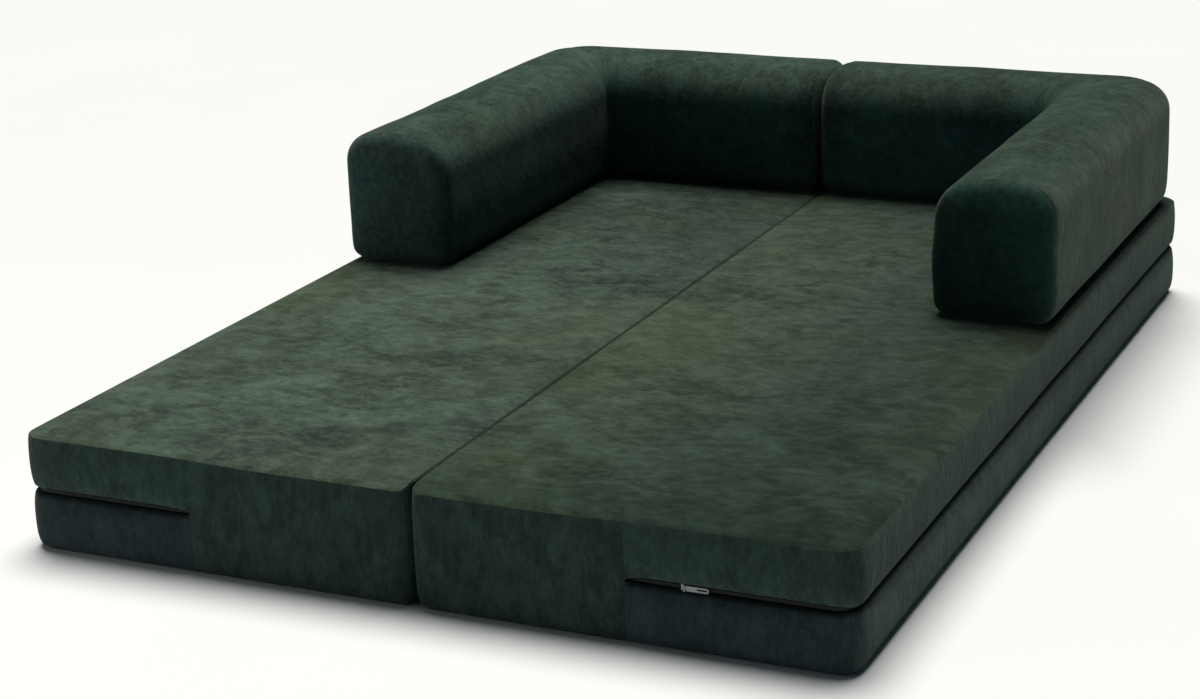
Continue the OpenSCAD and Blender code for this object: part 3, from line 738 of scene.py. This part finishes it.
def slab_skin(side):
    """The sewn cover of one half as one closed skin, with its faces numbered by panel."""
    look = look_of("mattress")
    zip_x, seed = ZIP_X[side], SEEDS[side][0]
    xs = place_on(look.columns, FOLD_X, HALF_W)
    nearest = min(range(len(xs)), key=lambda i: abs(xs[i] - zip_x))
    xs[nearest] = zip_x
    xs = sorted(xs + [zip_x - BESIDE, zip_x + BESIDE])
    ys = place_on(look.rows, -HALF_L, HALF_L)
    bm = bmesh.new()
    bm.faces.layers.int.new("panel")
    bm.verts.layers.float_vector.new("edge")
    bm.loops.layers.uv.new("cloth")
    panel, edge_of, uv = cover_layers(bm)
    for vert, x, y in laid_grid(bm, xs, ys):
        vert[edge_of] = (x, y, 0)
        point = rounded(x, y, look.seam_in)[0]
        vert.co = (point.x - pinch(x, y), point.y, top_height(x, y, zip_x, seed))
    for face in bm.faces:
        face[panel] = PANELS["top"]
        for loop in face.loops:
            loop[uv].uv = loop.vert[edge_of].xy
    rows = [(True, *row) for row in UPPER_ROWS] + [(False, *row) for row in LOWER_ROWS]
    edge = [e for e in bm.edges if e.is_boundary]
    for number, row in enumerate(rows):
        edge = sew_row(bm, edge, row, number - len(UPPER_ROWS), zip_x, seed)
    close_base(bm, xs, ys)
    bmesh.ops.recalc_face_normals(bm, faces=bm.faces)
    return bm


def sew_row(bm, edge, row, from_slot, zip_x, seed):
    """Adds a row of faces under the open edge of a cover, and returns the new open edge."""
    look = look_of("mattress")
    panel, edge_of, uv = cover_layers(bm)
    spread = SPREAD_STEPS.get(from_slot, 0) * SPREAD
    made = bmesh.ops.extrude_edge_only(bm, edges=edge)["geom"]
    for vert in (g for g in made if isinstance(g, bmesh.types.BMVert)):
        x, y = vert[edge_of].xy
        base, out, depth = rounded(x, y, 0)
        if out.x > 0.99:
            base.x -= look.side_draw * bow(clamp((HALF_L - abs(y)) / (2 * HALF_L)))
        opening = lerp(look.zip_start, 1.0, smooth(zip_x, zip_x + look.zip_taper, x))
        opening *= lerp(1.0, look.side_slot, smooth(0.3, 0.95, out.x))
        zipped = 1.0 if x > zip_x + BESIDE / 2 else 0.0
        if 0 < x - zip_x < BESIDE + MM:
            zipped = BESIDE_SHARE
        rim = edge_height(x, y, zip_x)
        vert.co = side_place(base, out, row, spread, zipped, opening, rim, seed)
        if out.x < -0.99:
            vert.co.x -= pinch(FOLD_X, y, rim - vert.co.z)
        if abs(x - zip_x) < BESIDE / 2 and abs(out.y) > 0.9:
            vert.co -= out * SEAM_IN * MM
    band = "upper" if from_slot < 0 else "lower" if from_slot > 0 else "slot"
    for face in (g for g in made if isinstance(g, bmesh.types.BMFace)):
        inner = sum(v[edge_of].x for v in face.verts) / 4 < zip_x
        face[panel] = PANELS["inner" if inner else band]
        for loop in face.loops:
            x, y = loop.vert[edge_of].xy
            along = x + (y + HALF_L if abs(y) < HALF_L - EDGE else 0)
            loop[uv].uv = (along, loop.vert.co.z)
    return [g for g in made if isinstance(g, bmesh.types.BMEdge) and g.is_boundary]


def close_base(bm, xs, ys):
    """Sews a flat base under the wall: a second grid that meets the wall's last row."""
    panel, edge_of, uv = cover_layers(bm)
    base_in = -LOWER_ROWS[-1][1] * MM
    for vert, x, y in laid_grid(bm, xs, ys):
        vert[edge_of] = (x, y, 0)
        point, out, depth = rounded(x, y, base_in)
        drop = 1 - exp(-depth / BASE_REACH)
        vert.co = (point.x, point.y, BASE_RIM_Z * (1 - drop))
        for face in vert.link_faces:
            face[panel] = PANELS["base"]
            for loop in face.loops:
                loop[uv].uv = loop.vert[edge_of].xy
    bmesh.ops.remove_doubles(bm, verts=[v for v in bm.verts if v.is_boundary], dist=SEWN)


class SOFA_OT_mattress_covers(bpy.types.Operator):
    """Sews the covers of both mattress halves"""

    bl_idname = "sofa.mattress_covers"
    bl_label = "Mattress covers"

    def execute(self, context):
        look = look_of("mattress")
        pieces = (("top", "top_panel", "top_chenille", "top_cover", look.top_thickness, 0.7),
            ("upper", "upper_band", "side_chenille", "upper_zip_band", look.thickness, 0.7),
            ("lower", "lower_band", "lower_chenille", "lower_zip_band", look.thickness, 0.7),
            ("inner", "fold_side_band", "side_chenille", "inner_band", look.thickness, 0.7),
            ("base", "base_panel", "base_cloth", "base_cover", look.thickness, 0.3))
        for side in SIDES:
            skin = slab_skin(side)
            layer = skin.faces.layers.int["panel"]
            holds = []
            for vert in skin.verts:
                kinds = {f[layer] for f in vert.link_faces}
                firm = len(kinds) > 1 or PANELS["slot"] in kinds or PANELS["base"] in kinds
                holds.append(1.0 if firm else 0.0)
            settle(skin, holds, look.swell)
            for vert in skin.verts:
                vert.co.z = min(vert.co.z, TOP_Z)
            mirror_left(skin, side)
            for panel, label, slot, cad, wall, fill in pieces:
                # The left half's top takes the lit copy of the top's chenille: painted light
                finish = "left_top_lit_chenille" if (side, panel) == ("left", "top") else slot
                part_cover(skin, PANELS[panel], side, "mattress", label, cad, finish, wall)
            skin.free()
        return {"FINISHED"}


# The fold's seam: width past the gap, thickness, depth under the rim, and sag
WELT_OVER, WELT_WALL, WELT_BELOW, WELT_SAG = 1.6 * MM, 1.6 * MM, 0.6 * MM, 1.2 * MM


class SOFA_OT_fold_seam(bpy.types.Operator):
    """Sews the strip that hinges the two halves"""

    bl_idname = "sofa.fold_seam"
    bl_label = "Fold seam"

    def execute(self, context):
        width = 2 * (FOLD_X - look_of("mattress").fold_draw) + WELT_OVER
        low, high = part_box("fold_welt")
        bm = bmesh.new()
        uv = bm.loops.layers.uv.new("cloth")
        bmesh.ops.create_grid(bm, x_segments=6, y_segments=60, size=0.5)
        rim = lerp(RIM_Z, TOP_Z, crown(FOLD_X, 0)) - WELT_BELOW
        for vert in bm.verts:
            u, v = vert.co.x + 0.5, vert.co.y + 0.5
            x, y = (u - 0.5) * width, lerp(low.y, high.y, v)
            tuft = uneven("welt", 0, y, 0, 3)
            vert.co = (x, y, rim - WELT_SAG * bow(u) + tuft * bow(u))
        for face in bm.faces:
            for loop in face.loops:
                loop[uv].uv = loop.vert.co.xy
        # The strip is darker than the top beside it: painted shade in the fold's groove
        made = add_object("fold_seam", bm, "seam_shaded_chenille")
        quilt(made, WELT_WALL)
        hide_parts("fold_welt")
        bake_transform(made)
        return {"FINISHED"}


BOLSTER_PANELS = {"arm_cap": 0, "arm": 1, "back": 2, "back_cap": 3, "zip_slot": 4}
# Faces round a bolster: foot edge, wall over the groove, outer edge, crown, seat edge, seat side and foot
FOOT_STEPS, WALL_STEPS, OUTER_STEPS, CROWN_STEPS, SEAT_STEPS, SIDE_STEPS, BASE_STEPS = 5, 5, 10, 6, 12, 11, 12
# The outer wall by the zip groove in millimetres: height of a plain and of a grooved wall, and depth
GROOVE_ROWS = [(44, 44, 0), (51, 52.5, 0.4), (55, 55.6, 2.6), (58, 56, 8.5), (60.5, 56.2, 17.4),
    (63.5, 67.8, 17.4), (66, 68, 8.5), (69, 68.4, 2.6), (73, 71.5, 0.4), (80, 80, 0)]
# The section's two points on the zip's edges
GROOVE_FLOOR = (FOOT_STEPS + 4, FOOT_STEPS + 5)
# The groove's own stations, in millimetres past the zip's ends
GROOVE_ENDS = (6, 3, 1.5, 0.2, -1.2, -4)
# How far inside and past the zip's ends the groove closes
GROOVE_IN, GROOVE_PAST = 0.5 * MM, 3 * MM
# Height over the foot at which the plain wall starts over the groove
WALL_FROM = 96 * MM
# How far the crown and the seat side bulge, and the least radius of an edge
BULGE, LEAST_R = 4 * MM, 4 * MM
# Faces along the arm, the bend and the back, and the step after a cap's edge
ARM_STEPS, BEND_STEPS, BACK_STEPS, AFTER_CAP = 50, 14, 36, 4 * MM
# Turns in degrees round a cap's edge, on the cap and then on the cover
CAP_TURNS, COVER_TURNS = (90, 78, 66, 54, 43, 36), (32, 25, 16, 7)
# Rings on a cap as shares of its size, and how far the two caps bulge
CAP_RINGS = (0.03, 0.22, 0.42, 0.62, 0.80, 0.93)
ARM_BULGE, BACK_BULGE = 3 * MM, 1 * MM
# Share of the height over which the unevenness sets in, and the seams' depth
FLAT_FOOT, SEAM_DRAW = 0.12, 0.6 * MM
# Height of the foot that is held, and how far a bolster may swell towards the other
HELD_FOOT, END_SWELL = 12 * MM, 1.5 * MM


def bolster_section(inset):
    """Points round a bolster, from the foot of its outer wall over the top: distance from the seat side, height
    over the foot, and both again where the zip's groove is."""
    look = look_of("bolster")
    seat_r, outer_r, foot_r = (max(r - inset, LEAST_R) for r in (look.seat_r, look.outer_r, look.foot_r))
    far, near = BOLSTER_W - inset, inset
    high, low = BOLSTER_TOP_Z - FOOT_Z - BULGE - inset, inset
    points = []

    def arc(cx, cz, r, start, steps):
        for i in range(steps):
            a = radians(start + 90 * i / steps)
            points.append((cx + r * cos(a), cz + r * sin(a), None))

    arc(far - foot_r, low + foot_r, foot_r, -90, FOOT_STEPS)
    for flat, grooved, depth in GROOVE_ROWS:
        z = clamp(flat * MM, low + foot_r, high - outer_r)
        points.append((far, z, (far - depth * MM, grooved * MM)))
    wall_from = max(WALL_FROM, low + foot_r)
    points += [(far, lerp(wall_from, high - outer_r, i / WALL_STEPS), None) for i in range(WALL_STEPS)]
    arc(far - outer_r, high - outer_r, outer_r, 0, OUTER_STEPS)
    span = far - near - seat_r - outer_r
    points += [(far - outer_r - span * i / CROWN_STEPS, high + BULGE * bow(i / CROWN_STEPS) ** 2, None)
        for i in range(CROWN_STEPS)]
    arc(near + seat_r, high - seat_r, seat_r, 90, SEAT_STEPS)
    drop = high - seat_r - low - foot_r
    points += [(near - BULGE * bow(i / SIDE_STEPS) ** 2, high - seat_r - drop * i / SIDE_STEPS, None)
        for i in range(SIDE_STEPS)]
    arc(near + foot_r, low + foot_r, foot_r, 180, FOOT_STEPS)
    points += [(near + foot_r + (far - near - 2 * foot_r) * i / BASE_STEPS, low, None) for i in range(BASE_STEPS)]
    return points


def bolster_girth():
    """Distances round the section of a bolster, point by point."""
    outline = bolster_section(0)
    girth = [0.0]
    for a, b in zip(outline, outline[1:] + outline[:1]):
        girth.append(girth[-1] + hypot(b[0] - a[0], b[1] - a[1]))
    return girth


def cap_stations(kind, end, bulge):
    """Stations of a cap from its middle to the cover's straight part."""
    r = look_of("bolster").cap_r
    stations = [(kind, end - bulge * (1 - share ** 2), r, share, f"{kind}_cap") for share in CAP_RINGS]
    for turn in CAP_TURNS + COVER_TURNS:
        t = radians(turn)
        panel = f"{kind}_cap" if turn in CAP_TURNS else kind
        stations.append((kind, end + r - r * sin(t), r * (1 - cos(t)), 1, panel))
    return stations


def bolster_stations():
    """Stations from the arm's cap to the back's: kind, place, inset, share of the section's size, and panel.
    Also the bend's pivot and the place of the seat side."""
    look = look_of("bolster")
    in_x, in_y = BOLSTER_OUT_X - BOLSTER_W, BOLSTER_OUT_Y - BOLSTER_W
    pivot_x, pivot_y = in_x - look.crease_r, in_y - look.crease_r
    arm_from, back_to = (end + look.cap_r + AFTER_CAP for end in (ARM_END_Y, BACK_END_X))
    stations = cap_stations("arm", ARM_END_Y, ARM_BULGE)
    stations += [("arm", lerp(arm_from, pivot_y, i / ARM_STEPS), 0, 1, "arm") for i in range(ARM_STEPS)]
    stations += [("bend", radians(90 * i / BEND_STEPS), 0, 1, "arm" if 2 * i < BEND_STEPS else "back")
        for i in range(BEND_STEPS + 1)]
    places = [lerp(pivot_x, back_to, (i + 1) / BACK_STEPS) for i in range(BACK_STEPS)]
    places += [ZIP_LOW_X - past * MM for past in GROOVE_ENDS] + [ZIP_HIGH_X + past * MM for past in GROOVE_ENDS]
    stations += [("back", x, 0, 1, "back") for x in sorted(places, reverse=True)]
    stations += reversed(cap_stations("back", BACK_END_X, BACK_BULGE))
    return stations, (pivot_x, pivot_y, in_x, in_y)


def bolster_point(station, point, corner):
    """Places a point of the section at a station."""
    kind, place, inset, share, panel = station
    pivot_x, pivot_y, in_x, in_y = corner
    look = look_of("bolster")
    across, up, grooved = point
    if grooved and kind == "back" and share == 1:
        opened = smooth(ZIP_LOW_X - GROOVE_PAST, ZIP_LOW_X + GROOVE_IN, place)
        opened *= 1 - smooth(ZIP_HIGH_X - GROOVE_IN, ZIP_HIGH_X + GROOVE_PAST, place)
        across, up = lerp(across, grooved[0], opened), lerp(up, grooved[1], opened)
    across, up = lerp(BOLSTER_W / 2, across, share), lerp((BOLSTER_TOP_Z - FOOT_Z) / 2, up, share)
    z = FOOT_Z + up
    if kind == "arm":
        return Vector((in_x + across, place, z))
    if kind == "back":
        return Vector((place, in_y + across, z))
    reach_r = BOLSTER_W + look.crease_r - look.bend_r
    bend_x = reach_r + look.bend_r * cos(place)
    bend_y = reach_r + look.bend_r * sin(place)
    reach = hypot(bend_x, bend_y)
    stretch = (reach - look.crease_r) / BOLSTER_W
    ray = (look.crease_r + across * stretch) / reach
    return Vector((pivot_x + ray * bend_x, pivot_y + ray * bend_y, z))


def bolster_skin(side):
    """The cover of one bolster as one closed skin, with its faces numbered by panel, and the layer of each
    vertex's point of the section, station and hold."""
    stations, corner = bolster_stations()
    section = {}
    around = len(bolster_section(0))
    bm = bmesh.new()
    panel = bm.faces.layers.int.new("panel")
    uv = bm.loops.layers.uv.new("cloth")
    mark = bm.verts.layers.float_vector.new("mark")
    seams = {j for j in range(1, len(stations)) if stations[j][4] != stations[j - 1][4]}
    for vert, i, j in laid_grid(bm, range(around + 1), range(len(stations))):
        station = stations[j]
        inset = station[2]
        if inset not in section:
            section[inset] = bolster_section(inset)
        point = section[inset][i % around]
        held = j in seams or (point[2] and station[0] == "back")
        vert[mark] = (i, j, 1 if held else 0)
        vert.co = bolster_point(station, point, corner)
    number_bolster(bm, panel, uv, mark, stations, corner)
    bmesh.ops.remove_doubles(bm, verts=bm.verts, dist=0.05 * MM)
    bmesh.ops.holes_fill(bm, edges=[e for e in bm.edges if e.is_boundary], sides=0)
    bmesh.ops.recalc_face_normals(bm, faces=bm.faces)
    shape_bolster(bm, mark, seams, SEEDS[side][1])
    return bm, mark


def number_bolster(bm, panel, uv, mark, stations, corner):
    """Numbers a bolster's faces by panel and lays the cloth on them, by the distances along it and round it."""
    run = [0.0]
    for a, b in zip(stations, stations[1:]):
        pa, pb = (bolster_point(s, (BOLSTER_W, 100 * MM, None), corner) for s in (a, b))
        run.append(run[-1] + max((pb - pa).length, MM))
    girth = bolster_girth()
    for face in bm.faces:
        kind = stations[int(min(v[mark].y for v in face.verts))][4]
        if all(v[mark].x in GROOVE_FLOOR and v.co.y > 0 and ZIP_LOW_X < v.co.x < ZIP_HIGH_X for v in face.verts):
            kind = "zip_slot"
        face[panel] = BOLSTER_PANELS[kind]
        for loop in face.loops:
            x, y, z = loop.vert.co
            if kind in ("arm_cap", "back_cap"):
                loop[uv].uv = (z, x if kind == "arm_cap" else y)
            else:
                loop[uv].uv = (girth[int(loop.vert[mark].x)], run[int(loop.vert[mark].y)])


def shape_bolster(bm, mark, seams, seed):
    """Draws the sewn seams in, and gives the cover a soft unevenness."""
    bm.normal_update()
    moves = []
    for vert in bm.verts:
        x, y, z = vert.co
        soft = uneven("bolster_dip", x, y, z, seed) + uneven("bolster_dent", x, y, z, seed + 3)
        soft *= smooth(0.0, FLAT_FOOT, clamp((z - FOOT_Z) / (BOLSTER_TOP_Z - FOOT_Z)))
        if int(vert[mark].y) in seams:
            soft -= SEAM_DRAW
        moves.append(vert.normal * soft)
    for vert, move in zip(bm.verts, moves):
        vert.co += move
        vert.co.z = max(vert.co.z, FOOT_Z)


class SOFA_OT_bolsters(bpy.types.Operator):
    """Sews the covers of both bolsters"""

    bl_idname = "sofa.bolsters"
    bl_label = "Bolsters"

    def execute(self, context):
        look = look_of("bolster")
        pieces = (("arm_cap", "arm_cap", "arm_end_cap"), ("arm", "arm_padding", "arm_cover"),
            ("back", "back_padding", "back_cover"), ("back_cap", "back_cap", "back_end_cap"))
        for side in SIDES:
            skin, mark = bolster_skin(side)
            holds = [1.0 if v[mark].z > 0 or v.co.z < FOOT_Z + HELD_FOOT else 0.0 for v in skin.verts]
            settle(skin, holds, look.swell, pressure=2.0, evened=14)
            for vert in skin.verts:
                vert.co.z = max(vert.co.z, FOOT_Z)
                vert.co.x = max(vert.co.x, BACK_END_X - END_SWELL)
            mirror_left(skin, side)
            for panel, label, cad in pieces:
                # The left bolster takes the lit copy of the chenille; the right cap a shaded copy and the left cap a
                # lit copy, both with a painted highlight on top
                finish = "left_bolster_lit_chenille" if side == "left" else "bolster_chenille"
                finish = f"{side}_cap_painted_light_chenille" if panel == "arm_cap" else finish
                part_cover(skin, BOLSTER_PANELS[panel], side, "bolster", label, cad, finish,
                    look.thickness)
            skin.free()
        return {"FINISHED"}


class SOFA_OT_frame_finishes(bpy.types.Operator):
    """Gives the zips, sliders, foam and wadding their materials"""

    bl_idname = "sofa.frame_finishes"
    bl_label = "Zips, foam and wadding"

    def execute(self, context):
        slots = {part["node"]: part["material_slot"] for part in frame["record"]["subparts"]}
        for name, made in frame["nodes"].items():
            made.data.materials.clear()
            made.data.materials.append(material(slots[name]))
        return {"FINISHED"}


class SOFA_OT_stage(bpy.types.Operator):
    """Sets up the floor, the soft light and the camera"""

    bl_idname = "sofa.stage"
    bl_label = "Stage"

    def execute(self, context):
        stage = context.scene.sofa_stage
        bm = bmesh.new()
        bmesh.ops.create_grid(bm, x_segments=1, y_segments=1, size=stage.floor)
        floor = bpy.data.meshes.new("studio_floor")
        bm.to_mesh(floor)
        bm.free()
        floor.materials.append(material("studio_floor"))
        placed("studio_floor", floor)
        world = bpy.data.worlds.new("soft_room")
        world.use_nodes = True
        background = world.node_tree.nodes["Background"].inputs
        background["Color"].default_value = (*stage.sky_colour, 1)
        background["Strength"].default_value = stage.sky
        context.scene.world = world
        self.overhead(stage)
        self.window(stage)
        self.camera(context, stage)
        context.scene.view_settings.view_transform = "Standard"
        return {"FINISHED"}

    def overhead(self, stage):
        light = bpy.data.lights.new("overhead", "SUN")
        light.energy = stage.overhead
        light.angle = stage.softness
        light.color = stage.overhead_colour
        placed("overhead", light).rotation_euler = Vector(stage.toward).to_track_quat("Z", "Y").to_euler()

    def window(self, stage):
        light = bpy.data.lights.new("window", "AREA")
        light.size = stage.window_size
        light.energy = stage.window
        made = placed("window", light)
        made.location = stage.window_place
        away = Vector(stage.window_place) - Vector(stage.window_aim)
        made.rotation_euler = away.to_track_quat("Z", "Y").to_euler()

    def camera(self, context, stage):
        lens = bpy.data.cameras.new("camera")
        lens.sensor_width = 36.0
        lens.lens = lens.sensor_width * stage.focal_px / stage.photo_w
        made = placed("camera", lens)
        yaw, pitch, roll = stage.yaw, stage.pitch, stage.roll
        ahead = Vector((sin(yaw) * cos(pitch), cos(yaw) * cos(pitch), -sin(pitch)))
        level = Vector((cos(yaw), -sin(yaw), 0))
        above = level.cross(ahead)
        right = cos(roll) * level + sin(roll) * above
        up = -sin(roll) * level + cos(roll) * above
        turn = Matrix((right, up, -ahead)).transposed()
        made.location = stage.camera
        made.rotation_euler = turn.to_euler()
        context.scene.camera = made


class SOFA_PT_sidebar(bpy.types.Panel):
    """Lists the steps in the 3D view's sidebar"""

    bl_label = "Sofa Bed"
    bl_space_type = "VIEW_3D"
    bl_region_type = "UI"
    bl_category = "Sofa Bed"

    def draw(self, context):
        for step in STEPS:
            self.layout.operator(step.bl_idname)
        for key in GROUPS:
            group = getattr(context.scene, key)
            for name in group.__annotations__:
                self.layout.prop(group, name)


GROUPS = {"sofa_mattress": SofaMattressSizes, "sofa_bolster": SofaBolsterSizes,
    "sofa_colours": SofaClothColours, "sofa_stage": SofaStage}
STEPS = (SOFA_OT_stage, SOFA_OT_frame_finishes, SOFA_OT_mattress_covers, SOFA_OT_fold_seam, SOFA_OT_bolsters)


def register():
    for cls in (*GROUPS.values(), *STEPS, SOFA_PT_sidebar):
        bpy.utils.register_class(cls)
    for name, group in GROUPS.items():
        setattr(bpy.types.Scene, name, PointerProperty(type=group))


def unregister():
    for name in GROUPS:
        delattr(bpy.types.Scene, name)
    for cls in (SOFA_PT_sidebar, *reversed(STEPS), *reversed(tuple(GROUPS.values()))):
        bpy.utils.unregister_class(cls)


def main():
    register()
    bpy.ops.sofa.stage()
    bpy.ops.sofa.frame_finishes()
    bpy.ops.sofa.mattress_covers()
    bpy.ops.sofa.fold_seam()
    bpy.ops.sofa.bolsters()


if __name__ == "__main__":
    main()
